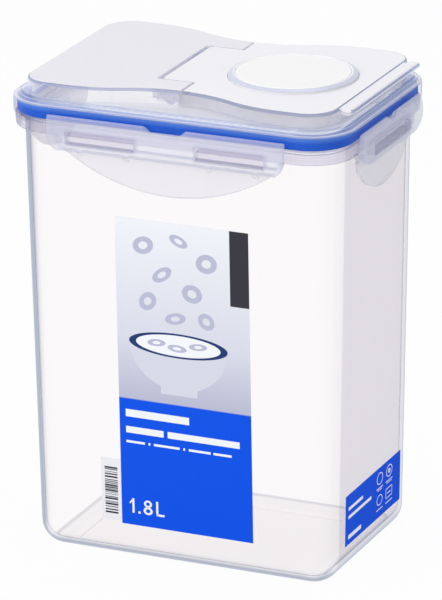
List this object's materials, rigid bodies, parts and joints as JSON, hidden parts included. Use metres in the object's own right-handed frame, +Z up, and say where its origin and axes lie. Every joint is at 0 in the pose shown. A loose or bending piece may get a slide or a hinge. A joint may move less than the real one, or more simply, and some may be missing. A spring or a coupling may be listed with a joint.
{
  "type": "flip-top food keeper",
  "caption": "Tall clear food keeper with a press-down lid, hinged latch flaps, a blue gasket and a flip-up pouring cap with a round white plug.",
  "frame": {"origin": "centre of the foot, on the surface that the keeper stands on", "axes": "+Z up, +X towards the pouring end, +Y towards the back, away from the front label"},
  "size_m": [0.1526, 0.1076, 0.202],
  "materials": {
    "clear_tub": "clear, faintly frosted moulded plastic",
    "frosted_lid": "milky translucent moulded plastic",
    "blue_gasket": "smooth soft blue gasket",
    "navy_seal": "smooth soft dark blue ring",
    "white_plug": "opaque white moulded plastic",
    "blue_label": "printed film label",
    "white_sticker": "printed paper sticker"
  },
  "bodies": {
    "tub": {"tub": "clear_tub", "front_label": "blue_label", "barcode_sticker": "white_sticker", "side_label": "blue_label"},
    "lid": {"lid": "frosted_lid", "lid_gasket": "blue_gasket", "spout_seal": "navy_seal"},
    "cap": {"flip_cap": "frosted_lid", "push_plug": "white_plug"},
    "front_flap": {"flap_front": "frosted_lid"},
    "back_flap": {"flap_back": "frosted_lid"},
    "left_flap": {"flap_left": "frosted_lid"},
    "right_flap": {"flap_right": "frosted_lid"}
  },
  "joints": [
    {"name": "lid_lift", "type": "slide", "parent": "tub", "child": "lid", "axis": [0, 0, 1], "range_m": [0, 0.2]},
    {"name": "cap_flip", "type": "hinge", "parent": "lid", "child": "cap", "pos_m": [-0.0075, 0, 0.1971], "axis": [0, -1, 0], "range_deg": [0, 125]},
    {"name": "front_flap_hinge", "type": "hinge", "parent": "lid", "child": "front_flap", "pos_m": [0, -0.0521, 0.1885], "axis": [-1, 0, 0], "range_deg": [0, 150]},
    {"name": "back_flap_hinge", "type": "hinge", "parent": "lid", "child": "back_flap", "pos_m": [0, 0.0521, 0.1885], "axis": [1, 0, 0], "range_deg": [0, 150]},
    {"name": "left_flap_hinge", "type": "hinge", "parent": "lid", "child": "left_flap", "pos_m": [-0.0746, 0, 0.1885], "axis": [0, 1, 0], "range_deg": [0, 150]},
    {"name": "right_flap_hinge", "type": "hinge", "parent": "lid", "child": "right_flap", "pos_m": [0.0746, 0, 0.1885], "axis": [0, -1, 0], "range_deg": [0, 150]}
  ]
}
